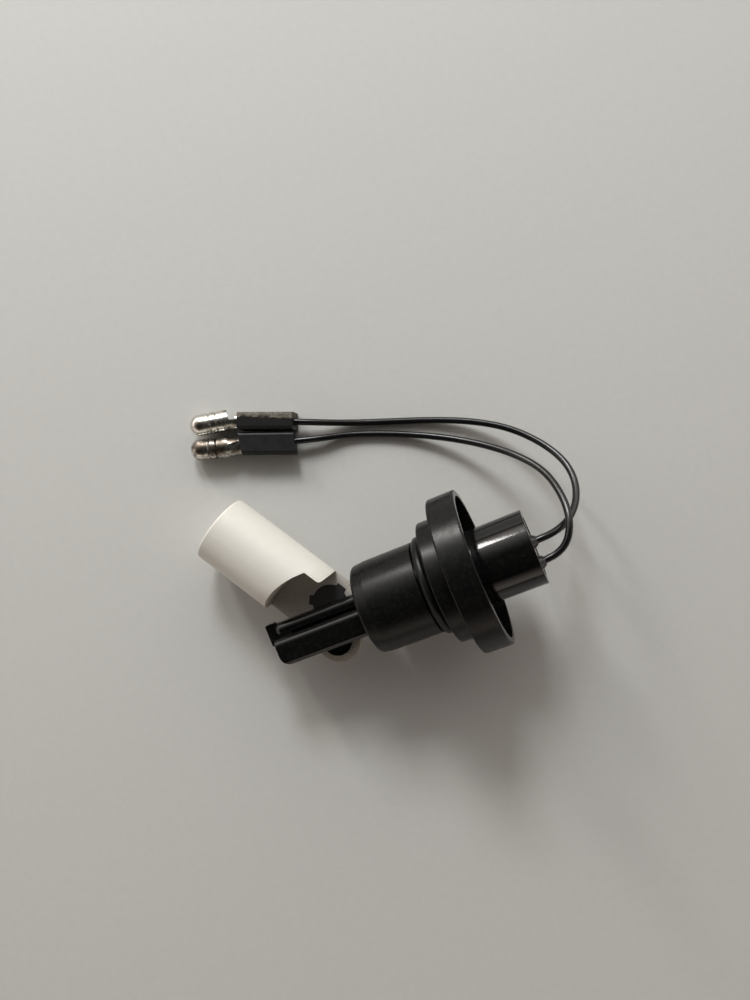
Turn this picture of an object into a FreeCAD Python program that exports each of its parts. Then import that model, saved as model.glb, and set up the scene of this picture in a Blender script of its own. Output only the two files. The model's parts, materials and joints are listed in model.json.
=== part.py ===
"""Side-mounted float level switch with two flying leads, all lengths in millimetres.

The switch is modelled in its own frame and then laid down on a flat surface, the way it comes
to rest: on the edge of its flange, the end of its open float and the two lead terminals.

The switch's own frame: X runs along the spigot towards the leads, with X = 0 on the flange's
front face. Y points to the side that the float opens to. Z runs along the float's hinge.
"""
import FreeCAD, Part
import math
import os

V = FreeCAD.Vector

# ---- housing: round parts about X ----
flange_radius = 14.55
flange_depth = 5.2
flange_rim_wall = 1.2
flange_web = 1.8
shoulder_radius = 11.3
shoulder_length = 3.3
seal_groove_width = 2.4
spigot_radius = 8.55
spigot_length = 11.8
lead_in_length = 2.3
lead_in_drop = 0.25
stem_radius = 6.85
stem_length = 14.65
potting_bore_radius = 5.5
spigot_end_wall = 1.8
edge_round = 0.35
spigot_edge_round = 0.6

# ---- sealing ring ----
seal_outer_radius = 9.15
seal_section = 1.7
seal_seat_gap = 0.02

# ---- arm that holds the reed switch ----
arm_length = 18.0
arm_open_side = 3.65
arm_closed_side = -4.05
arm_bottom = -0.8
arm_plate = 1.5
arm_tab_length = 1.8
arm_tab_inner_side = -0.25
arm_tab_outer_side = 3.95
arm_corner_round = 2.2
arm_end_wall = 1.2
reed_rib_side = 1.1
reed_rib_top = 4.2
reed_rib_round = 1.2
lead_rib_radius = 1.3
reed_bore_radius = 1.35
reed_bore_floor = 1.2
lead_bore_radius = 0.7
crossover_length = 1.6
crossover_height = 1.4
crossover_height_at_lead = 1.1
bridge_wall = 0.4

# ---- hinge ----
pivot_ahead = 8.1
pivot_side = -3.6
collar_radius = 2.75
collar_height = 0.5
journal_radius = 2.2
journal_clearance = 0.07
hinge_axial_play = 0.1
eye_radius = 4.2
eye_thickness = 2.1
open_angle = 58.0
stop_gap = 0.05
retainer_head_radius = 3.0
retainer_head_height = 0.75
retainer_shank_radius = 1.1
retainer_shank_length = 2.0
retainer_press_gap = 0.01

# ---- float ----
float_radius = 6.6
float_axis_side = 0.4
float_reach = 30.4
float_heel = 1.5
float_wall = 1.1
float_slot_radius = 14.5
float_side_clearance = 0.9
float_nose_start = 8.5
float_nose_slant = 0.8
float_nose_round = 0.8
float_end_round = 0.35
float_pass_radius = 8.2
float_cap_thickness = 1.6
float_cap_ledge = 0.5
float_cap_gap = 0.02
counterbore_clearance = 0.5

# ---- magnet in the float's floor ----
magnet_ahead = 5.4
magnet_side = 4.9
magnet_radius = 2.5
magnet_height = 2.6
magnet_gap = 0.03
magnet_cap_radius = 3.3
magnet_cap_recess = 0.6
magnet_cap_proud = 0.25
magnet_cap_gap = 0.05
magnet_lug_reach = 3.95
magnet_lug_width = 1.75
magnet_lug_turn = 90.0

# ---- reed switch and inner leads ----
glass_radius = 1.15
glass_length = 12.0
glass_wall = 0.32
glass_from_turn = 0.3
reed_lead_radius = 0.28
blade_width = 1.1
blade_thickness = 0.22
blade_overlap = 1.0
blade_gap = 0.06
inner_lead_end = -3.0
insulation_radius = 0.55
insulation_wall = 0.24
insulation_start_gap = 0.4
insulation_length = 19.0
joint_length = 3.2
joint_margin = 0.25

# ---- flying leads ----
wire_radius = 0.65
conductor_radius = 0.35
jacket_gap = 0.02
conductor_in_joint = 3.0
wire_in_potting = 3.0
wire_clear_of_stem = 1.5
wire_in_sleeve = 4.7
wire_clear_of_sleeve = 3.5
wire_1_exit = (1.0, 1.3)
wire_2_exit = (-2.85, 1.15)
potting_front = 3.0
potting_recess = 0.15
potting_wall_gap = 0.02
meniscus_height = 1.0
meniscus_radius = 1.5
wire_hole_gap = 0.05

# ---- bullet terminals ----
bullet_radius = 2.05
bullet_length = 7.4
bullet_wall = 0.55
bullet_dome_round = 1.95
groove_depth = 0.2
groove_half_width = 0.2
tip_groove_from_tip = 3.8
mouth_groove_from_tip = 5.1
neck_length = 2.4
neck_thickness = 0.4
neck_tube_edge = -0.2
neck_crimp_edge = 0.3
neck_crimp_half_width = 1.55
crimp_wall = 0.78
crimp_gap = 0.02
crimp_length = 6.8
crimp_proud = 0.2
neck_sleeve_gap = 0.1
neck_inset = 0.05
neck_into_pin = 0.45

# ---- terminal sleeves ----
sleeve_length = 10.6
sleeve_width = 4.4
sleeve_height = 3.4
sleeve_round = 0.7
sleeve_end_slant = 0.8
sleeve_crimp_gap = 0.2
sleeve_wire_gap = 0.08

# ---- how the terminals lie on the surface: front of the sleeve, then turns in degrees ----
terminal_1_place = (-13.11, 35.83, sleeve_width / 2)
terminal_1_heading = 155.9
terminal_1_roll = 90.0
terminal_1_bend = 13.5
terminal_1_lift = 7.0
terminal_1_skew = 2.0
terminal_2_place = (-14.9, 31.22, bullet_radius)
terminal_2_heading = 162.9
terminal_2_roll = 180.0
terminal_2_bend = 0.0
terminal_2_lift = 0.0
terminal_2_skew = -4.4

# ---- routes of the leads between stem and sleeve, chosen points on the surface's frame ----
wire_1_route = [
    (32.4, -5.5, 17.8), (35.8, -4.6, 15.9), (38.8, -2.4, 13.4), (40.7, 1.1, 10.8),
    (40.8, 5.3, 8.0), (38.4, 10.2, 5.3), (34.3, 14.9, 3.1), (28.4, 18.8, 1.6),
    (21.3, 22.0, 0.8), (13.4, 24.9, 0.7), (5.8, 27.7, 0.9),
]
wire_2_route = [
    (32.1, -8.6, 19.1), (34.4, -6.6, 19.4), (36.0, -3.3, 18.1), (36.8, 0.5, 15.3),
    (36.2, 4.7, 11.6), (33.4, 8.9, 7.9), (29.3, 12.9, 4.9), (24.1, 16.7, 2.5),
    (17.9, 20.2, 1.1), (11.4, 23.2, 0.7), (5.0, 25.6, 0.8),
]

# ---- derived positions ----
groove_rear = -shoulder_length
groove_front = groove_rear - seal_groove_width
spigot_front = groove_front - spigot_length
arm_front = spigot_front - arm_length
pivot = V(spigot_front - pivot_ahead, pivot_side, 0)
collar_bottom = arm_bottom - collar_height
floor_top = collar_bottom - hinge_axial_play
eye_bottom = floor_top - eye_thickness
journal_bottom = eye_bottom - hinge_axial_play
reed_y = (arm_closed_side + reed_rib_side) / 2
reed_z = arm_bottom + reed_bore_floor + reed_bore_radius
lead_y = arm_open_side - lead_rib_radius
lead_z = arm_bottom + arm_plate
cavity_front = arm_front + arm_end_wall
crossover_rear = cavity_front + crossover_length
crossover_bottom = lead_z - lead_bore_radius / 2
crossover_top_at_lead = crossover_bottom + crossover_height_at_lead
bore_front = spigot_front + spigot_end_wall
potting_rear = stem_length - potting_recess
wire_start = potting_rear - wire_in_potting
joint_front = inner_lead_end - joint_length


# ---- shape helpers ----
def rounded_wire(corners, place):
    """Closed wire through corners (u, v, radius); place turns (u, v) into a point in space."""
    joins = []
    for index, (u, v, radius) in enumerate(corners):
        here = V(u, v, 0)
        if radius == 0:
            joins.append((here, None, here))
            continue
        before = (V(*corners[index - 1][:2], 0) - here).normalize()
        after = (V(*corners[(index + 1) % len(corners)][:2], 0) - here).normalize()
        half_angle = before.getAngle(after) / 2
        inward = (before + after).normalize()
        reach = radius / math.tan(half_angle)
        to_arc = radius / math.sin(half_angle) - radius
        joins.append((here + before * reach, here + inward * to_arc, here + after * reach))
    edges = []
    for index, (start, middle, end) in enumerate(joins):
        if middle is not None:
            arc = Part.Arc(place(start), place(middle), place(end))
            edges.append(arc.toShape())
        next_start = joins[(index + 1) % len(joins)][0]
        if (next_start - end).Length > 1e-6:
            edges.append(Part.makeLine(place(end), place(next_start)))
    return Part.Wire(edges)


def turned(corners, centre=V(0, 0, 0)):
    """Solid of revolution about an X axis through centre, from corners (x, radius, round)."""
    wire = rounded_wire(corners, lambda p: centre + V(p.x, 0, p.y))
    return Part.Face(wire).revolve(centre, V(1, 0, 0), 360)


def plate(corners, bottom, top):
    """Plate with the outline corners (x, y, round) between two heights."""
    wire = rounded_wire(corners, lambda p: V(p.x, p.y, bottom))
    return Part.Face(wire).extrude(V(0, 0, top - bottom))


def bar(corners, start, end):
    """Bar along X with the section corners (y, z, round)."""
    wire = rounded_wire(corners, lambda p: V(start, p.x, p.y))
    return Part.Face(wire).extrude(V(end - start, 0, 0))


def block(low, high):
    """Box between two opposite corners."""
    size = V(*high) - V(*low)
    return Part.makeBox(size.x, size.y, size.z, V(*low))


def rod(radius, start, end, y=0.0, z=0.0):
    """Round bar along X."""
    return Part.makeCylinder(radius, end - start, V(start, y, z), V(1, 0, 0))


def post(radius, bottom, top, centre):
    """Round bar along Z at centre."""
    return Part.makeCylinder(radius, top - bottom, V(centre.x, centre.y, bottom))


# ---- housing ----
def housing():
    """Moulded flange, spigot, stem and reed arm in one piece."""
    groove_floor = seal_outer_radius - seal_section - seal_seat_gap
    body = turned([
        (spigot_front, 0, 0),
        (spigot_front, spigot_radius - lead_in_drop, spigot_edge_round),
        (spigot_front + lead_in_length, spigot_radius, 0),
        (groove_front, spigot_radius, 0),
        (groove_front, groove_floor, 0),
        (groove_rear, groove_floor, 0),
        (groove_rear, shoulder_radius, edge_round),
        (0, shoulder_radius, 0),
        (0, flange_radius, edge_round),
        (flange_depth, flange_radius, edge_round),
        (flange_depth, flange_radius - flange_rim_wall, 0),
        (flange_web, flange_radius - flange_rim_wall, edge_round),
        (flange_web, stem_radius, edge_round),
        (stem_length, stem_radius, edge_round / 2),
        (stem_length, 0, 0),
    ])
    body = body.fuse(arm()).fuse(hinge_post())
    bore = rod(potting_bore_radius, bore_front, stem_length)
    cavity = bore.fuse(arm_cavity())
    retainer_hole = post(
        retainer_shank_radius, journal_bottom, journal_bottom + retainer_shank_length, pivot)
    return body.cut(cavity).cut(retainer_hole).removeSplitter()


def arm():
    """Arm ahead of the spigot: a plate under a wide rib for the reed and a round rib for its lead.

    A low bridge between the ribs covers the crossover at the arm's end.
    """
    root = spigot_front + spigot_end_wall / 2
    tab_front = arm_front - arm_tab_length
    base = plate([
        (root, arm_open_side, 0),
        (arm_front, arm_open_side, 0),
        (arm_front, arm_tab_outer_side, 0),
        (tab_front, arm_tab_outer_side, edge_round),
        (tab_front, arm_tab_inner_side, edge_round),
        (arm_front, arm_tab_inner_side, 0),
        (arm_front, arm_closed_side, arm_corner_round),
        (root, arm_closed_side, 0),
    ], arm_bottom, arm_bottom + arm_plate)
    rib_section = bar([
        (arm_closed_side, arm_bottom, 0),
        (reed_rib_side, arm_bottom, 0),
        (reed_rib_side, reed_rib_top, reed_rib_round),
        (arm_closed_side, reed_rib_top, reed_rib_round),
    ], arm_front, root)
    rib_outline = plate([
        (root, reed_rib_side, 0),
        (arm_front, reed_rib_side, edge_round),
        (arm_front, arm_closed_side, arm_corner_round),
        (root, arm_closed_side, 0),
    ], arm_bottom, reed_rib_top)
    reed_rib = rib_section.common(rib_outline)
    ball_x = arm_front + lead_rib_radius
    lead_rib = rod(lead_rib_radius, ball_x, root, lead_y, lead_z)
    lead_rib = lead_rib.fuse(Part.makeSphere(lead_rib_radius, V(ball_x, lead_y, lead_z)))
    lead_rib = lead_rib.common(block(
        (arm_front, arm_closed_side, lead_z), (root, arm_open_side, lead_z + lead_rib_radius)))
    bridge = block(
        (cavity_front - bridge_wall, reed_rib_side, lead_z),
        (crossover_rear + bridge_wall, lead_y, crossover_top_at_lead + bridge_wall))
    return base.fuse(reed_rib).fuse(lead_rib).fuse(bridge)


def arm_cavity():
    """Bores for the reed and its return lead, joined by a crossover at the arm's end."""
    into_bore = bore_front + edge_round
    reed_bore = rod(reed_bore_radius, cavity_front, into_bore, reed_y, reed_z)
    lead_bore = rod(lead_bore_radius, cavity_front, into_bore, lead_y, lead_z)
    crossover = block(
        (cavity_front, reed_y, crossover_bottom),
        (crossover_rear, reed_rib_side, crossover_bottom + crossover_height))
    crossover = crossover.fuse(block(
        (cavity_front, reed_rib_side, crossover_bottom),
        (crossover_rear, lead_y, crossover_top_at_lead)))
    return reed_bore.fuse(lead_bore).fuse(crossover)


def hinge_post():
    """Collar and journal under the arm that the float's eye turns on."""
    collar = post(collar_radius, collar_bottom, arm_bottom + edge_round, pivot)
    journal = post(journal_radius, journal_bottom, arm_bottom, pivot)
    return collar.fuse(journal)


def sealing_ring():
    section_radius = seal_section / 2
    centre = V((groove_front + groove_rear) / 2, 0, 0)
    return Part.makeTorus(
        seal_outer_radius - section_radius, section_radius, centre, V(1, 0, 0))


def hinge_retainer():
    """Headed plug pressed into the journal that keeps the float on its hinge."""
    head = post(
        retainer_head_radius, journal_bottom - retainer_head_height, journal_bottom, pivot)
    shank = post(
        retainer_shank_radius - retainer_press_gap, journal_bottom,
        journal_bottom + retainer_shank_length - hinge_axial_play, pivot)
    rim = [edge for edge in head.Edges
           if abs(edge.BoundBox.ZMax - head.BoundBox.ZMin) < 1e-6]
    return head.makeFillet(edge_round, rim).fuse(shank)


# ---- float, drawn closed: in line with the spigot ----
float_end = pivot.x - float_reach
float_axis = V(0, float_axis_side, 0)
slot_side = arm_tab_outer_side + float_side_clearance


def float_shell():
    """Hollow moulded float with its hinge eye, arm slot and magnet pocket."""
    body = turned([
        (float_end, 0, 0),
        (float_end, float_radius, float_end_round),
        (pivot.x + float_heel, float_radius, 0),
        (pivot.x + float_heel, 0, 0),
    ], float_axis)
    body = body.fuse(post(eye_radius, eye_bottom, floor_top, pivot))
    body = body.common(rod(float_pass_radius, float_end, pivot.x + eye_radius))
    body = body.cut(arm_slot()).cut(stop_cut())
    body = body.cut(hinge_hole()).cut(float_hollow()).cut(magnet_pocket())
    return body.removeSplitter()


def arm_slot():
    """Room for the arm: a sector about the hinge, bounded by the nose on the open side."""
    top = float_radius + float_wall
    sweep = post(float_slot_radius, floor_top, top, pivot)
    inside = block(
        (pivot.x - float_slot_radius, pivot.y - float_slot_radius, floor_top),
        (pivot.x + eye_radius, slot_side, top))
    nose_x = pivot.x - float_nose_start
    outer = float_radius + float_wall
    ahead_of_nose = plate([
        (nose_x, slot_side, float_nose_round),
        (nose_x + float_nose_slant, outer, 0),
        (pivot.x + eye_radius, outer, 0),
        (pivot.x + eye_radius, slot_side - eye_radius, 0),
        (nose_x - float_nose_round, slot_side - eye_radius, 0),
        (nose_x - float_nose_round, slot_side, 0),
    ], floor_top, top)
    return sweep.common(inside).fuse(ahead_of_nose)


def stop_cut():
    """Everything that would pass the spigot's front face when the float is fully open."""
    size = 2 * float_reach
    beyond = block(
        (spigot_front - stop_gap, -size, -size), (spigot_front + size, size, size))
    beyond.rotate(pivot, V(0, 0, 1), open_angle)
    return beyond


def hinge_hole():
    """Bearing hole of the eye, with room below it for the retainer's head."""
    hole = post(journal_radius + journal_clearance, eye_bottom, floor_top, pivot)
    head_room = post(
        retainer_head_radius + counterbore_clearance, -float_radius, eye_bottom, pivot)
    return hole.fuse(head_room)


def float_hollow():
    """Air space from the end cap's ledge to the slot and on below its floor to the magnet."""
    hollow_radius = float_radius - float_wall - float_cap_ledge
    hollow_rear = pivot.x - float_slot_radius - float_wall
    ledge = float_end + float_cap_thickness
    hollow = rod(hollow_radius, ledge, hollow_rear, float_axis_side)
    under_slot = rod(
        hollow_radius, ledge, magnet_centre().x - magnet_radius - float_wall, float_axis_side)
    under_slot = under_slot.common(block(
        (float_end, -float_radius, -float_radius),
        (pivot.x, float_radius, floor_top - float_wall)))
    seat = rod(float_radius - float_wall, float_end, ledge, float_axis_side)
    return hollow.fuse(under_slot).fuse(seat)


def magnet_centre():
    return V(pivot.x - magnet_ahead, pivot.y + magnet_side, 0)


def magnet_pocket():
    """Stepped pocket for the magnet and its cap."""
    cap_seat = floor_top - magnet_cap_recess
    magnet_bottom = cap_seat - magnet_height
    cap_hole = post(
        magnet_cap_radius + magnet_cap_gap, cap_seat, floor_top, magnet_centre())
    magnet_hole = post(magnet_radius + magnet_gap, magnet_bottom, cap_seat, magnet_centre())
    return cap_hole.fuse(magnet_hole)


def magnet():
    cap_seat = floor_top - magnet_cap_recess
    return post(magnet_radius, cap_seat - magnet_height, cap_seat, magnet_centre())


def magnet_cap():
    """Black disc over the magnet, with three lugs that lie on the float's floor."""
    centre = magnet_centre()
    top = floor_top + magnet_cap_proud
    disc = post(magnet_cap_radius, floor_top - magnet_cap_recess, top, centre)
    lug = block(
        (centre.x, centre.y - magnet_lug_width / 2, floor_top),
        (centre.x + magnet_lug_reach, centre.y + magnet_lug_width / 2, top))
    for turn in range(3):
        placed = lug.copy()
        placed.rotate(centre, V(0, 0, 1), magnet_lug_turn + 120 * turn)
        disc = disc.fuse(placed)
    return disc.removeSplitter()


def float_end_cap():
    """Disc welded into the float's far end."""
    return rod(float_radius - float_wall - float_cap_gap, float_end,
               float_end + float_cap_thickness, float_axis_side)


# ---- reed switch ----
turn_radius = math.hypot(lead_y - reed_y, lead_z - reed_z) / 2
turn_start = cavity_front + turn_radius + 2 * reed_lead_radius
glass_front = turn_start + glass_from_turn
glass_rear = glass_front + glass_length
glass_centre = V(0, reed_y, reed_z)


def reed_glass():
    """Sealed glass tube with drawn-in ends round the two leads."""
    neck = glass_wall * 2
    shell = turned([
        (glass_front, reed_lead_radius, 0),
        (glass_front, reed_lead_radius + glass_wall, 0),
        (glass_front + neck, glass_radius, 0.3),
        (glass_rear - neck, glass_radius, 0.3),
        (glass_rear, reed_lead_radius + glass_wall, 0),
        (glass_rear, reed_lead_radius, 0),
        (glass_rear - 2 * neck, reed_lead_radius, 0),
        (glass_rear - 3 * neck, glass_radius - glass_wall, 0),
        (glass_front + 3 * neck, glass_radius - glass_wall, 0),
        (glass_front + 2 * neck, reed_lead_radius, 0),
    ], glass_centre)
    return shell


def blade(start, end, height):
    """Flat contact blade between two X positions."""
    return block(
        (start, reed_y - blade_width / 2, height), (end, reed_y + blade_width / 2,
                                                     height + blade_thickness))


def reed_front():
    """Front contact: blade, lead, turn at the arm's end and the run back beside the glass."""
    inner_start = glass_front + 6 * glass_wall
    middle = (glass_front + glass_rear) / 2
    contact = blade(inner_start, middle + blade_overlap / 2, reed_z + blade_gap / 2)
    low = V(turn_start, reed_y, reed_z)
    high = V(turn_start, lead_y, lead_z)
    far = (low + high) / 2 - V(turn_radius, 0, 0)
    path = Part.Wire([
        Part.makeLine(V(inner_start + blade_thickness, reed_y, reed_z), low),
        Part.Arc(low, far, high).toShape(),
        Part.makeLine(high, V(inner_lead_end, lead_y, lead_z)),
    ])
    section = Part.Wire(Part.makeCircle(
        reed_lead_radius, V(inner_start + blade_thickness, reed_y, reed_z), V(1, 0, 0)))
    lead = path.makePipeShell([section], True, False)
    return lead.fuse(contact)


def reed_rear():
    """Rear contact: blade and straight lead."""
    inner_end = glass_rear - 6 * glass_wall
    middle = (glass_front + glass_rear) / 2
    contact = blade(
        middle - blade_overlap / 2, inner_end, reed_z - blade_gap / 2 - blade_thickness)
    lead = rod(reed_lead_radius, inner_end - blade_thickness, inner_lead_end, reed_y, reed_z)
    return lead.fuse(contact)


def lead_insulation():
    """Thin tube over the lead that runs back beside the glass."""
    start = turn_start + insulation_start_gap
    tube = rod(insulation_radius, start, start + insulation_length, lead_y, lead_z)
    return tube.cut(rod(insulation_radius - insulation_wall, start,
                        start + insulation_length, lead_y, lead_z))


def conductor(exit_point):
    """Stripped end of a flying lead inside the housing."""
    return rod(conductor_radius, inner_lead_end - conductor_in_joint, wire_start, *exit_point)


def solder_joint(lead_point, exit_point):
    """Solder round a reed lead and the conductor beside it."""
    spacing = math.dist(lead_point, exit_point)
    radius = spacing / 2 + conductor_radius + joint_margin
    centre = V(0, (lead_point[0] + exit_point[0]) / 2, (lead_point[1] + exit_point[1]) / 2)
    blob = turned([
        (joint_front, 0, 0),
        (joint_front, radius, radius / 2),
        (inner_lead_end, radius, radius / 2),
        (inner_lead_end, 0, 0),
    ], centre)
    inner_lead = rod(reed_lead_radius, joint_front, inner_lead_end, *lead_point)
    strands = rod(conductor_radius, inner_lead_end - conductor_in_joint, inner_lead_end,
                  *exit_point)
    return blob.cut(inner_lead).cut(strands)


def potting():
    """Potting compound that seals the stem and climbs a little up each lead."""
    plug = rod(potting_bore_radius - potting_wall_gap, potting_front, potting_rear)
    rim_radius = wire_radius + 2 * wire_hole_gap
    for exit_point in (wire_1_exit, wire_2_exit):
        foot = V(potting_rear, *exit_point)
        plug = plug.fuse(Part.makeCone(
            meniscus_radius, rim_radius, meniscus_height, foot, V(1, 0, 0)))
    for exit_point in (wire_1_exit, wire_2_exit):
        wire_hole = rod(wire_radius + wire_hole_gap, wire_start,
                        potting_rear + meniscus_height, *exit_point)
        strand_hole = rod(conductor_radius + wire_hole_gap, potting_front, wire_start,
                          *exit_point)
        plug = plug.cut(wire_hole).cut(strand_hole)
    return plug


# ---- terminal, drawn along +X from the front face of its sleeve, neck on the -Z side ----
crimp_radius = conductor_radius + crimp_gap + crimp_wall
crimp_front = sleeve_end_slant + crimp_proud
crimp_rear = crimp_front - crimp_length


def bullet():
    """Tubular pin with a domed tip, two rolled grooves and an open end."""
    mouth = neck_length
    tip = mouth + bullet_length
    outline = [
        (mouth, bullet_radius - bullet_wall, 0),
        (mouth, bullet_radius, 0),
    ]
    for from_tip in (mouth_groove_from_tip, tip_groove_from_tip):
        middle = tip - from_tip
        outline += [
            (middle - groove_half_width, bullet_radius, 0),
            (middle, bullet_radius - groove_depth, 0),
            (middle + groove_half_width, bullet_radius, 0),
        ]
    outline += [
        (tip, bullet_radius, bullet_dome_round),
        (tip, 0, 0),
        (tip - bullet_wall, 0, 0),
        (tip - bullet_wall, bullet_radius - bullet_wall, bullet_dome_round - bullet_wall),
    ]
    return turned(outline)


def neck_slab(corners):
    """Slab right across the neck with the side outline corners (x, z)."""
    outline = rounded_wire([(x, z, 0) for x, z in corners], lambda p: V(p.x, -bullet_radius, p.y))
    return Part.Face(outline).extrude(V(0, 2 * bullet_radius, 0))


def neck():
    """Open channel that flattens from the pin's wall to the crimp."""
    start = -sleeve_end_slant
    end = neck_length + neck_into_pin
    foot = V(start, 0, 0)
    along_x = V(1, 0, 0)
    end_radius = bullet_radius - neck_inset
    outer = Part.makeCone(neck_crimp_half_width, end_radius, end - start, foot, along_x)
    inner = Part.makeCone(
        neck_crimp_half_width - neck_thickness, end_radius - neck_thickness, end - start,
        foot, along_x)
    kept = neck_slab([
        (start, -crimp_radius),
        (end, -bullet_radius),
        (end, neck_tube_edge),
        (start, neck_crimp_edge),
    ])
    open_side = neck_slab([
        (start, neck_thickness - crimp_radius),
        (end, neck_thickness - end_radius),
        (end, end_radius),
        (start, end_radius),
    ])
    return outer.common(kept).cut(inner.common(open_side))


def upright(roll):
    """Direction in a terminal's own frame that stands upright once the terminal is rolled."""
    return FreeCAD.Rotation(V(1, 0, 0), -roll).multVec(V(0, 0, 1))


def sleeve_outside(roll, skew):
    """Rounded rectangular bar, slanted at its ends and skewed on the crimp's axis."""
    half_width = sleeve_width / 2
    half_height = sleeve_height / 2
    section = bar([
        (-half_width, -half_height, sleeve_round),
        (half_width, -half_height, sleeve_round),
        (half_width, half_height, sleeve_round),
        (-half_width, half_height, sleeve_round),
    ], -sleeve_length - sleeve_end_slant, sleeve_end_slant)
    half_slant = sleeve_end_slant / 2
    outline = plate([
        (half_slant, half_width, 0),
        (-half_slant, -half_width, 0),
        (-sleeve_length - half_slant, -half_width, 0),
        (-sleeve_length + half_slant, half_width, 0),
    ], -half_height, half_height)
    body = section.common(outline)
    body.rotate(V(-sleeve_length / 2, 0, 0), upright(roll), skew)
    return body


def terminal(roll, bend, lift, skew):
    """Bullet terminal bent at its pin's mouth, its crimp barrel straight in the sleeve."""
    mouth = V(neck_length, 0, 0)
    pin = bullet()
    pin.rotate(mouth, V(1, 0, 0).cross(upright(roll)), lift)
    pin.rotate(mouth, upright(roll), bend)
    behind_neck = sleeve_outside(roll, skew)
    behind_neck.translate(V(neck_sleeve_gap, 0, 0))
    barrel = rod(crimp_radius, crimp_rear, crimp_front)
    hole = rod(conductor_radius + crimp_gap, crimp_rear, neck_length)
    return barrel.fuse(neck().cut(behind_neck)).cut(hole).fuse(pin).removeSplitter()


def sleeve(roll, skew):
    """Insulating sleeve with room for the crimp barrel and the lead."""
    mouth = rod(crimp_radius + sleeve_crimp_gap, crimp_rear, sleeve_end_slant)
    wire_end = -sleeve_length + wire_in_sleeve
    wire_hole = rod(
        wire_radius + sleeve_wire_gap, -sleeve_length - sleeve_end_slant, wire_end)
    strand_hole = rod(conductor_radius + sleeve_wire_gap, wire_end, crimp_rear)
    return sleeve_outside(roll, skew).cut(mouth).cut(wire_hole).cut(strand_hole)


def crimped_conductor():
    """Stripped end of a flying lead in the crimp."""
    return rod(conductor_radius, -sleeve_length + wire_in_sleeve, crimp_front)


def lie(place, heading, roll):
    """Placement that lays a terminal on the surface."""
    return FreeCAD.Placement(V(*place), FreeCAD.Rotation(heading, 0, roll))


# ---- leads ----
def lead_points(exit_point, route, laid, terminal_lie):
    """All points of a lead: in the potting, out of the stem, its route and into its sleeve."""
    start = laid.multVec(V(wire_start, *exit_point))
    outside = laid.multVec(V(potting_rear + wire_clear_of_stem, *exit_point))
    before = terminal_lie.multVec(V(-sleeve_length - wire_clear_of_sleeve, 0, 0))
    end = terminal_lie.multVec(V(-sleeve_length + wire_in_sleeve, 0, 0))
    return [start, outside] + [V(*point) for point in route] + [before, end]


def lead(name, points):
    """Jacket and strands of a lead along straight runs joined by tangent arcs."""
    edges = []
    last = points[0]
    radii = []
    for before, corner, after in zip(points, points[1:], points[2:]):
        back = before - corner
        ahead = after - corner
        reach = 0.45 * min(back.Length, ahead.Length)
        half_inner = back.getAngle(ahead) / 2
        radii.append(reach * math.tan(half_inner))
        back.normalize()
        ahead.normalize()
        inward = (back + ahead).normalize()
        to_arc = reach / math.cos(half_inner) - radii[-1]
        arc_start = corner + back * reach
        arc_end = corner + ahead * reach
        edges.append(Part.makeLine(last, arc_start))
        edges.append(Part.Arc(arc_start, corner + inward * to_arc, arc_end).toShape())
        last = arc_end
    edges.append(Part.makeLine(last, points[-1]))
    path = Part.Wire(edges)
    print(name, "length", round(path.Length, 1), "radii", [round(radius, 1) for radius in radii])

    def swept(radius):
        section = Part.Wire(Part.makeCircle(radius, points[0], points[1] - points[0]))
        return path.makePipeShell([section], True, False)

    return swept(wire_radius).cut(swept(conductor_radius + jacket_gap)), swept(conductor_radius)


# ---- laying the switch down ----
def lying_tilt():
    """Front-down tilt at which the flange's edge and the open float's end touch the surface."""
    angle = math.radians(open_angle)
    axis_off_pivot = float_axis_side - pivot_side
    end_ahead = -(pivot.x - float_reach * math.cos(angle) + axis_off_pivot * math.sin(angle))
    across = math.sin(angle)
    low, high = 0.0, math.radians(45)
    for _ in range(60):
        tilt = (low + high) / 2
        float_drop = end_ahead * math.sin(tilt) + float_radius * math.hypot(
            math.cos(tilt), across * math.sin(tilt))
        if float_drop < flange_radius * math.cos(tilt):
            low = tilt
        else:
            high = tilt
    return math.degrees(low)


def open_float(shape):
    """A float piece turned from closed to its open stop, where it rests."""
    opened = shape.copy()
    opened.rotate(pivot, V(0, 0, 1), -open_angle)
    return opened


def laid_placement(shapes):
    """Placement that lays the switch down, its box centred over the origin on the surface."""
    tilt = FreeCAD.Rotation(V(0, 1, 0), -lying_tilt())
    box = FreeCAD.BoundBox()
    for shape in shapes:
        turned_down = shape.copy()
        turned_down.Placement = FreeCAD.Placement(V(0, 0, 0), tilt).multiply(shape.Placement)
        box.add(turned_down.optimalBoundingBox(False))
    return FreeCAD.Placement(V(-box.Center.x, -box.Center.y, -box.ZMin), tilt)


def switch_nodes():
    """Every piece of the switch itself, in its own frame with the float at its open stop."""
    return {
        "housing": housing(),
        "sealing_ring": sealing_ring(),
        "hinge_retainer": hinge_retainer(),
        "reed_glass": reed_glass(),
        "reed_front": reed_front(),
        "reed_rear": reed_rear(),
        "lead_insulation": lead_insulation(),
        "conductor_1": conductor(wire_1_exit),
        "conductor_2": conductor(wire_2_exit),
        "solder_joint_1": solder_joint((lead_y, lead_z), wire_1_exit),
        "solder_joint_2": solder_joint((reed_y, reed_z), wire_2_exit),
        "potting": potting(),
        "float_shell": open_float(float_shell()),
        "float_end_cap": open_float(float_end_cap()),
        "magnet": open_float(magnet()),
        "magnet_cap": open_float(magnet_cap()),
    }


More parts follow.
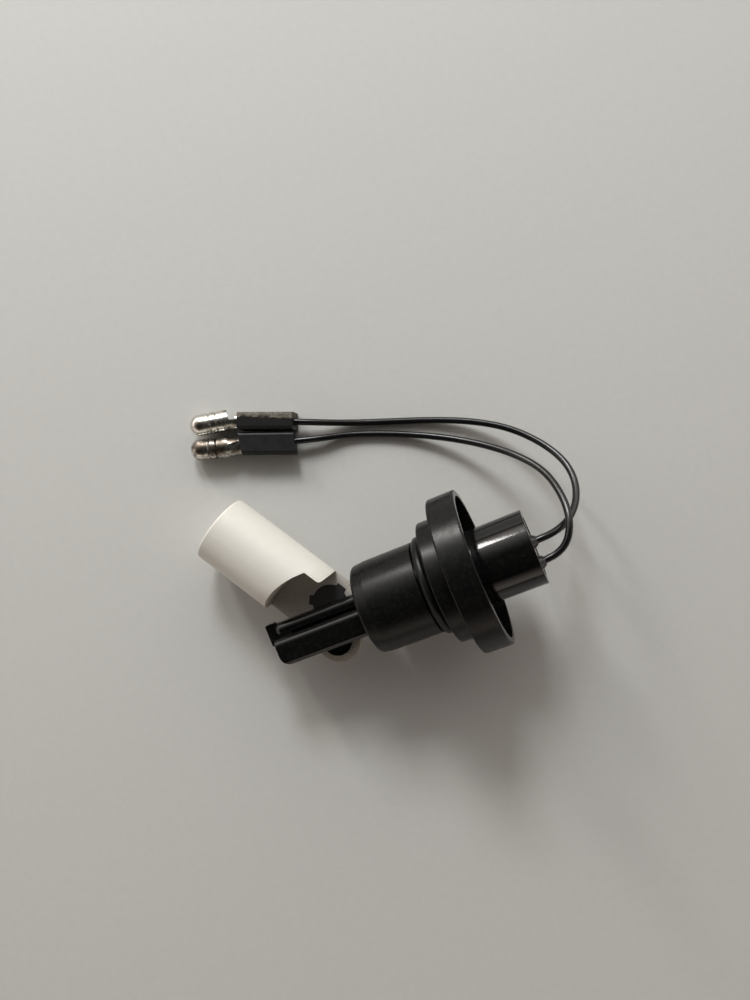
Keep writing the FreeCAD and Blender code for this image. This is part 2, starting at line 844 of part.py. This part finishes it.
def lead_nodes(laid):
    """The two leads with their terminals and sleeves, where they lie."""
    leads = [
        ("_1", wire_1_exit, wire_1_route, terminal_1_place, terminal_1_heading,
         terminal_1_roll, terminal_1_bend, terminal_1_lift, terminal_1_skew),
        ("_2", wire_2_exit, wire_2_route, terminal_2_place, terminal_2_heading,
         terminal_2_roll, terminal_2_bend, terminal_2_lift, terminal_2_skew),
    ]
    nodes = {}
    for tag, exit_point, route, place, heading, roll, bend, lift, skew in leads:
        terminal_lie = lie(place, heading, roll)
        points = lead_points(exit_point, route, laid, terminal_lie)
        nodes["lead" + tag], nodes["strands" + tag] = lead("lead" + tag, points)
        laid_pieces = {
            "terminal": terminal(roll, bend, lift, skew),
            "sleeve": sleeve(roll, skew),
            "crimped_conductor": crimped_conductor(),
        }
        for name, shape in laid_pieces.items():
            shape.Placement = terminal_lie.multiply(shape.Placement)
            nodes[name + tag] = shape
    return nodes


def main():
    os.makedirs("parts", exist_ok=True)
    nodes = switch_nodes()
    laid = laid_placement(nodes.values())
    print("tilt", round(lying_tilt(), 3), "shift", laid.Base)
    for shape in nodes.values():
        shape.Placement = laid.multiply(shape.Placement)
    nodes.update(lead_nodes(laid))
    for name, shape in nodes.items():
        print(name, shape.ShapeType, len(shape.Solids), shape.isValid(), round(shape.Volume, 2))
        shape.exportStep("parts/" + name + ".step")


main()
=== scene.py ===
"""Looks of the side-mounted float level switch: finishes, leads, light and camera.
"""

import json
import math

import bpy
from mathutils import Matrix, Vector

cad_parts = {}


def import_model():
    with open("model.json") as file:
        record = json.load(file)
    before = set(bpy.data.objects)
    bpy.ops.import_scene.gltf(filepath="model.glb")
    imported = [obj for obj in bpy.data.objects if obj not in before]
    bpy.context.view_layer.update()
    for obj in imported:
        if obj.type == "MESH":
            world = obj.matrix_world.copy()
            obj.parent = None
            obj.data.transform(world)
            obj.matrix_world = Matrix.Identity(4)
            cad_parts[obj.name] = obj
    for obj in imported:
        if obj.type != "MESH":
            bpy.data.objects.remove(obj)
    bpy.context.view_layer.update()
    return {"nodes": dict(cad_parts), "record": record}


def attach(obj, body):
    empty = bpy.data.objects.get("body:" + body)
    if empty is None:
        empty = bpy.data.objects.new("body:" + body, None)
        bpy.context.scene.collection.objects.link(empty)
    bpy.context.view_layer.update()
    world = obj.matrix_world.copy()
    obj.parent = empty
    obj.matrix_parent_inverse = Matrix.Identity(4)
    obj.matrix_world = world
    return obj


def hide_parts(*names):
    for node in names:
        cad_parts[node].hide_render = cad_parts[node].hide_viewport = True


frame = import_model()
nodes = frame["nodes"]
mounts = {mount["name"]: mount for mount in frame["record"]["mounts"]}

MM = 0.001


def level_direction(azimuth):
    """Level unit vector towards an azimuth, in degrees from the x axis."""
    angle = math.radians(azimuth)
    return Vector((math.cos(angle), math.sin(angle), 0))


# ---- the housing's axis, from its mounts: back runs from the flange along the stem ----
back = -Vector(mounts["spigot"]["axis"]).normalized()
shoulder_middle = Vector(mounts["shoulder"]["pos_m"])
flange_front = shoulder_middle + back * mounts["shoulder"]["dims"]["length_mm"] / 2 * MM

# ---- light: the window's direction, and the lamps, all at one distance ----
window_side = level_direction(88.0)
lamp_distance = 0.60
lamps = (
    {"name": "window", "azimuth": 78.7, "elevation": 34.0, "size": (0.14, 0.14),
     "power": 2.25, "tint": (0.96, 1.0, 1.0)},
    {"name": "side_window", "azimuth": 100.5, "elevation": 23.0, "size": (0.06, 0.14),
     "power": 1.15, "tint": (1.0, 0.97, 0.93)},
)

# ---- camera: straight above, turned about the vertical ----
camera_place = Vector((5.231, 11.541, 148.74)) * MM
camera_turn = -22.33
camera_lens_mm = 27.04
camera_sensor_mm = 36.0

# ---- leads: the points of their routes, from inside the stem to inside the sleeve ----
lead_diameter = 1.3 * MM
lead_1_length = 84.9 * MM
lead_2_length = 80.4 * MM
lead_1_points_mm = [
    (24.68, -5.56, 17.80), (29.09, -5.56, 18.70),
    (32.4, -5.5, 17.8), (35.8, -4.6, 15.9), (38.8, -2.4, 13.4), (40.7, 1.1, 10.8),
    (40.8, 5.3, 8.0), (38.4, 10.2, 5.3), (34.3, 14.9, 3.1), (28.4, 18.8, 1.6),
    (21.3, 22.0, 0.8), (13.4, 24.9, 0.7), (5.8, 27.7, 0.9),
    (-0.20, 30.16, 2.2), (-7.68, 33.51, 2.2),
]
lead_2_points_mm = [
    (24.71, -9.41, 17.65), (29.12, -9.41, 18.56),
    (32.1, -8.6, 19.1), (34.1, -6.5, 19.4), (35.6, -3.2, 18.1), (36.2, 0.7, 15.3),
    (35.8, 4.9, 11.6), (33.4, 8.9, 7.9), (29.3, 12.9, 4.9), (24.1, 16.7, 2.5),
    (17.9, 20.2, 1.1), (11.4, 23.2, 0.7), (5.0, 25.6, 0.8),
    (-1.42, 27.07, 2.05), (-9.26, 29.49, 2.05),
]


# ---- node helpers ----
def new_material(name):
    """A material, its node tree and its shader."""
    made = bpy.data.materials.new(name)
    made.use_nodes = True
    tree = made.node_tree
    return made, tree, tree.nodes["Principled BSDF"]


def add(tree, kind, inputs=None, **settings):
    """Node of a kind, with settings as attributes and inputs by name or index."""
    node = tree.nodes.new(kind)
    for key, value in settings.items():
        setattr(node, key, value)
    for key, value in (inputs or {}).items():
        feed(tree, value, node.inputs[key])
    return node


def feed(tree, value, socket):
    """Link an output to a socket, or set a constant on it."""
    if isinstance(value, bpy.types.NodeSocket):
        tree.links.new(value, socket)
    else:
        socket.default_value = value


def calculate(tree, operation, first, second):
    """Result of a math node."""
    return add(tree, "ShaderNodeMath", {0: first, 1: second}, operation=operation).outputs[0]


def dot(tree, vector, direction):
    """Length of a vector along a direction."""
    node = add(tree, "ShaderNodeVectorMath", {0: vector, 1: direction}, operation="DOT_PRODUCT")
    return node.outputs["Value"]


def from_point(tree, start):
    """Shaded place, counted from a point."""
    node = add(tree, "ShaderNodeVectorMath", {0: place_in_frame(tree), 1: start}, operation="SUBTRACT")
    return node.outputs[0]


def place_in_frame(tree):
    return add(tree, "ShaderNodeTexCoord").outputs["Object"]


def noise_value(tree, scale, detail=4.0, roughness=0.5):
    """Noise at the shaded place, scale in cells per metre."""
    return add(tree, "ShaderNodeTexNoise", {
        "Vector": place_in_frame(tree), "Scale": scale, "Detail": detail, "Roughness": roughness,
    }).outputs["Fac"]


def remap(tree, value, low, high, to_low, to_high):
    """Value between low and high, mapped to another range."""
    return add(tree, "ShaderNodeMapRange", {
        "Value": value, "From Min": low, "From Max": high, "To Min": to_low, "To Max": to_high,
    }).outputs[0]


def spread(tree, noise, to_low, to_high):
    """Noise mapped to a range that its middle values fill."""
    return remap(tree, noise, 0.3, 0.7, to_low, to_high)


def mix_colour(tree, factor, first, second):
    """Colour between two others."""
    node = add(tree, "ShaderNodeMix", data_type="RGBA", clamp_factor=False)
    for index, value in ((0, factor), (6, first), (7, second)):
        feed(tree, value, node.inputs[index])
    return node.outputs[2]


def colour(red, green, blue):
    return (red, green, blue, 1.0)


def bump(tree, shader, height, depth):
    """Bump from a height value, depth in metres."""
    node = add(tree, "ShaderNodeBump", {"Height": height, "Distance": depth, "Strength": 1.0})
    tree.links.new(node.outputs[0], shader.inputs["Normal"])


def dress(tree, shader, inputs):
    """Feed outputs and constants to the shader's inputs, by name."""
    for name, value in inputs.items():
        feed(tree, value, shader.inputs[name])


# ---- finishes ----
def housing_finish():
    """Black moulded plastic, satin on the spigot and flange, glossier on the stem and the arm."""
    made, tree, shader = new_material("housing_finish")
    behind_front_mm = dot(tree, from_point(tree, flange_front), back / MM)
    on_stem = remap(tree, behind_front_mm, 5.0, 5.4, 0.0, 1.0)
    on_arm = remap(tree, behind_front_mm, -17.3, -17.7, 0.0, 1.0)
    glossy = calculate(tree, "ADD", on_stem, on_arm)
    mottle = noise_value(tree, 500.0, 5.0, 0.6)
    satin_rough = spread(tree, mottle, 0.24, 0.32)
    gloss_rough = spread(tree, mottle, 0.08, 0.12)
    dust = remap(tree, noise_value(tree, 1400.0, 6.0, 0.7), 0.5, 0.8, 0.0, 1.0)
    clean, dusty = colour(0.0035, 0.0035, 0.0035), colour(0.012, 0.012, 0.011)
    dress(tree, shader, {
        "Base Color": mix_colour(tree, dust, clean, dusty),
        "Roughness": add(tree, "ShaderNodeMix", {0: glossy, 2: satin_rough, 3: gloss_rough}).outputs[0],
        "Specular IOR Level": remap(tree, glossy, 0.0, 1.0, 0.18, 0.38),
    })
    bump(tree, shader, noise_value(tree, 4200.0, 3.0), 0.004 * MM)
    return made


def plain_finish(name, first, second, rough, metallic=0.0, specular=0.5):
    """Slightly mottled finish between two colours."""
    made, tree, shader = new_material(name)
    mottle = noise_value(tree, 900.0)
    dress(tree, shader, {
        "Base Color": mix_colour(tree, mottle, colour(*first), colour(*second)),
        "Roughness": spread(tree, mottle, rough - 0.05, rough + 0.05),
        "Metallic": metallic,
        "Specular IOR Level": specular,
    })
    bump(tree, shader, noise_value(tree, 2700.0, 3.0), 0.004 * MM)
    return made


def dark_specks(tree):
    """One in the middle of a few cells, elsewhere nought."""
    cells = add(tree, "ShaderNodeTexVoronoi", {
        "Vector": place_in_frame(tree), "Scale": 230.0, "Randomness": 1.0})
    near = remap(tree, cells.outputs["Distance"], 0.03, 0.05, 1.0, 0.0)
    cell_value = add(tree, "ShaderNodeSeparateColor", {0: cells.outputs["Color"]}).outputs[0]
    chosen = calculate(tree, "GREATER_THAN", cell_value, 0.93)
    return calculate(tree, "MULTIPLY", near, chosen)


def float_finish():
    """Off-white foamed plastic with a few dark specks, and painted shade as fine brown stipples down
    the side away from the window.
    """
    made, tree, shader = new_material("float_finish")
    cream, dull_cream = colour(0.59, 0.575, 0.53), colour(0.55, 0.53, 0.48)
    # brown is the colour of the painted shade stipples; speck is the specks' own colour
    brown, speck = colour(0.26, 0.225, 0.19), colour(0.03, 0.025, 0.02)
    mottle = noise_value(tree, 320.0)
    # painted shade: the stipples grow over the side turned away from the window
    from_window_mm = dot(tree, place_in_frame(tree), -window_side / MM)
    painted_shade_side = remap(tree, from_window_mm, -5.0, 3.0, 0.0, 0.75)
    painted_shade_stipple = calculate(tree, "MULTIPLY", noise_value(tree, 2600.0, 3.0, 0.6), painted_shade_side)
    tint = mix_colour(tree, mottle, cream, dull_cream)
    tint = mix_colour(tree, remap(tree, painted_shade_stipple, 0.05, 0.60, 0.0, 1.0), tint, brown)
    dress(tree, shader, {
        "Base Color": mix_colour(tree, dark_specks(tree), tint, speck),
        "Roughness": spread(tree, mottle, 0.42, 0.54),
        "Subsurface Weight": 0.12,
        "Subsurface Radius": (1.2 * MM, 1.0 * MM, 0.7 * MM),
        "Subsurface Scale": 1.0,
    })
    bump(tree, shader, noise_value(tree, 1800.0, 4.0), 0.008 * MM)
    return made


def tinned_finish(name, dull_from):
    """Bright tin with dull brown patches, which cover more from a lower dull_from."""
    made, tree, shader = new_material(name)
    bright, tarnished = colour(0.66, 0.64, 0.59), colour(0.11, 0.09, 0.073)
    patch = noise_value(tree, 420.0, 5.0, 0.6)
    tarnish = remap(tree, patch, dull_from, dull_from + 0.16, 0.0, 1.0)
    dress(tree, shader, {
        "Base Color": mix_colour(tree, tarnish, bright, tarnished),
        "Roughness": remap(tree, patch, 0.40, 0.65, 0.22, 0.42),
        "Metallic": 1.0,
    })
    bump(tree, shader, noise_value(tree, 1500.0, 5.0), 0.005 * MM)
    return made


def crusted_sleeve_finish():
    """Black vinyl with a brown-grey crust along the side away from the float."""
    made, tree, shader = new_material("crusted_sleeve_finish")
    black = colour(0.006, 0.006, 0.0065)
    crust_dark, crust_pale = colour(0.045, 0.040, 0.034), colour(0.15, 0.135, 0.115)
    start, end = Vector(lead_1_points_mm[-2]) * MM, Vector(lead_1_points_mm[-1]) * MM
    run = (end - start).normalized()
    outward = Vector((run.y, -run.x, 0))
    outward_mm = dot(tree, from_point(tree, start), outward / MM)
    crumb = noise_value(tree, 900.0, 5.0, 0.65)
    edge = calculate(tree, "ADD", outward_mm, crumb)
    crust = remap(tree, edge, 0.75, 1.05, 0.0, 1.0)
    brown = mix_colour(tree, remap(tree, crumb, 0.35, 0.65, 0.0, 1.0), crust_dark, crust_pale)
    dress(tree, shader, {
        "Base Color": mix_colour(tree, crust, black, brown),
        "Roughness": remap(tree, crust, 0.0, 1.0, 0.48, 0.85),
        "Specular IOR Level": 0.3,
    })
    bump(tree, shader, calculate(tree, "MULTIPLY", crumb, crust), 0.5 * MM)
    return made


def paper_finish():
    """Pale warm grey paper with fine fibres and faint clouds."""
    made, tree, shader = new_material("paper_finish")
    dark_fibre, pale_fibre = colour(0.45, 0.447, 0.43), colour(0.51, 0.507, 0.49)
    cloud_tint = colour(0.46, 0.455, 0.44)
    fibres = mix_colour(tree, noise_value(tree, 700.0, 6.0, 0.65), dark_fibre, pale_fibre)
    cloud = spread(tree, noise_value(tree, 9.0, 3.0), 0.0, 0.25)
    dress(tree, shader, {
        "Base Color": mix_colour(tree, cloud, fibres, cloud_tint),
        "Roughness": 0.85,
        "Specular IOR Level": 0.3,
    })
    bump(tree, shader, noise_value(tree, 420.0, 6.0, 0.6), 0.03 * MM)
    return made


# ---- leads ----
def lead(name, points_mm):
    """Lead as a smooth curve along its route."""
    curve = bpy.data.curves.new(name, "CURVE")
    curve.dimensions = "3D"
    spline = curve.splines.new("NURBS")
    spline.points.add(len(points_mm) - 1)
    for point, place in zip(spline.points, points_mm):
        point.co = (*(Vector(place) * MM), 1.0)
    spline.order_u = 3
    spline.use_endpoint_u = True
    spline.resolution_u = 12
    curve.bevel_depth = lead_diameter / 2
    curve.bevel_resolution = 6
    curve.use_fill_caps = True
    made = bpy.data.objects.new(name, curve)
    bpy.context.scene.collection.objects.link(made)
    made.data.materials.append(finishes["lead"])
    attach(made, "switch")
    return made


def lay_leads():
    tagged = (("_1", lead_1_points_mm, lead_1_length), ("_2", lead_2_points_mm, lead_2_length))
    for tag, points_mm, length in tagged:
        made = lead("free_lead" + tag, points_mm)
        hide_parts("lead" + tag, "strands" + tag)


# ---- floor, light and camera ----
def floor():
    half = 1.5
    mesh = bpy.data.meshes.new("floor")
    mesh.from_pydata([(-half, -half, 0), (half, -half, 0), (half, half, 0), (-half, half, 0)],
                     [], [(0, 1, 2, 3)])
    made = bpy.data.objects.new("floor", mesh)
    bpy.context.scene.collection.objects.link(made)
    mesh.materials.append(paper_finish())


def lamp(name, azimuth, elevation, size, power, tint):
    """Area lamp that looks at the origin from an azimuth and elevation in degrees."""
    data = bpy.data.lights.new(name, "AREA")
    data.shape = "RECTANGLE"
    data.size, data.size_y = size
    data.energy = power
    data.color = tint
    made = bpy.data.objects.new(name, data)
    rise = math.radians(elevation)
    outward = level_direction(azimuth) * math.cos(rise) + Vector((0, 0, math.sin(rise)))
    made.location = outward * lamp_distance
    made.rotation_euler = (-made.location).to_track_quat("-Z", "Y").to_euler()
    bpy.context.scene.collection.objects.link(made)


def world():
    """Bright band above the horizon towards the window, warm and dim elsewhere, dark overhead."""
    made = bpy.data.worlds.new("world")
    bpy.context.scene.world = made
    made.use_nodes = True
    tree = made.node_tree
    black, window_tint, room_tint = colour(0, 0, 0), colour(1.0, 0.975, 0.95), colour(1.0, 0.87, 0.77)
    direction = add(tree, "ShaderNodeTexCoord").outputs["Generated"]
    height = add(tree, "ShaderNodeSeparateXYZ", {0: direction}).outputs[2]
    facing = remap(tree, dot(tree, direction, window_side), 0.0, 0.85, 0.0, 1.0)
    window_low = remap(tree, height, 0.10, 0.26, 0.0, 1.0)
    window_high = remap(tree, height, 0.55, 0.92, 1.9, 0.0)
    glow = calculate(tree, "MULTIPLY", window_low, window_high)
    glow = calculate(tree, "MULTIPLY", glow, facing)
    room_low = remap(tree, height, 0.03, 0.12, 0.1, 1.0)
    room_high = remap(tree, height, 0.25, 0.60, 1.15, 0.015)
    room = calculate(tree, "MULTIPLY", room_low, room_high)
    window_light = mix_colour(tree, glow, black, window_tint)
    room_light = mix_colour(tree, room, black, room_tint)
    both = add(tree, "ShaderNodeVectorMath", {0: window_light, 1: room_light}, operation="ADD")
    tree.links.new(both.outputs[0], tree.nodes["Background"].inputs["Color"])


def camera():
    data = bpy.data.cameras.new("camera")
    data.lens = camera_lens_mm
    data.sensor_width = camera_sensor_mm
    data.clip_start = 5.0 * MM
    data.clip_end = 10.0
    made = bpy.data.objects.new("camera", data)
    made.location = camera_place
    made.rotation_euler = (0, 0, math.radians(camera_turn))
    bpy.context.scene.collection.objects.link(made)
    bpy.context.scene.camera = made


finishes = {
    "housing": housing_finish(),
    "float": float_finish(),
    "seal": plain_finish("seal_finish", (0.003, 0.003, 0.003), (0.007, 0.007, 0.007), 0.35,
                         specular=0.2),
    "potting": plain_finish("potting_finish", (0.008, 0.008, 0.009), (0.014, 0.014, 0.014), 0.18),
    "trim": plain_finish("trim_finish", (0.012, 0.012, 0.013), (0.024, 0.024, 0.024), 0.5),
    "lead": plain_finish("lead_finish", (0.004, 0.004, 0.0045), (0.008, 0.008, 0.008), 0.22,
                         specular=0.35),
    "sleeve": plain_finish("sleeve_finish", (0.004, 0.0042, 0.0045), (0.010, 0.0105, 0.011), 0.48,
                           specular=0.32),
    "crusted_sleeve": crusted_sleeve_finish(),
    "tin": tinned_finish("tinned_finish", 0.47),
    # terminal_2's copy has more dull patches: partly tarnish, partly painted shade where terminal_1
    # shades it
    "tin_dulled_and_shaded": tinned_finish("tarnished_and_shaded_tin_finish", 0.41),
    "reed": plain_finish("reed_finish", (0.50, 0.48, 0.44), (0.60, 0.58, 0.54), 0.3, 1.0),
    "copper": plain_finish("copper_finish", (0.72, 0.34, 0.20), (0.80, 0.44, 0.28), 0.35, 1.0),
    "solder": plain_finish("solder_finish", (0.50, 0.50, 0.50), (0.62, 0.62, 0.62), 0.3, 1.0),
    "tube": plain_finish("tube_finish", (0.68, 0.66, 0.60), (0.76, 0.74, 0.70), 0.5),
    "glass": plain_finish("glass_finish", (0.60, 0.68, 0.60), (0.66, 0.74, 0.66), 0.1),
    "ferrite": plain_finish("ferrite_finish", (0.05, 0.05, 0.05), (0.08, 0.08, 0.08), 0.6),
}
finished_nodes = {
    "housing": ("housing",),
    "float": ("float_shell", "float_end_cap"),
    "seal": ("sealing_ring",),
    "potting": ("potting",),
    "trim": ("hinge_retainer", "magnet_cap"),
    "lead": ("lead_1", "lead_2"),
    "sleeve": ("sleeve_2",),
    "crusted_sleeve": ("sleeve_1",),
    "tin": ("terminal_1",),
    "tin_dulled_and_shaded": ("terminal_2",),
    "reed": ("reed_front", "reed_rear"),
    "copper": ("conductor_1", "conductor_2", "crimped_conductor_1", "crimped_conductor_2",
               "strands_1", "strands_2"),
    "solder": ("solder_joint_1", "solder_joint_2"),
    "tube": ("lead_insulation",),
    "glass": ("reed_glass",),
    "ferrite": ("magnet",),
}
for finish, names in finished_nodes.items():
    for name in names:
        nodes[name].data.materials.clear()
        nodes[name].data.materials.append(finishes[finish])

camera()
lay_leads()
floor()
world()
for settings in lamps:
    lamp(**settings)
bpy.context.scene.view_settings.view_transform = "Standard"
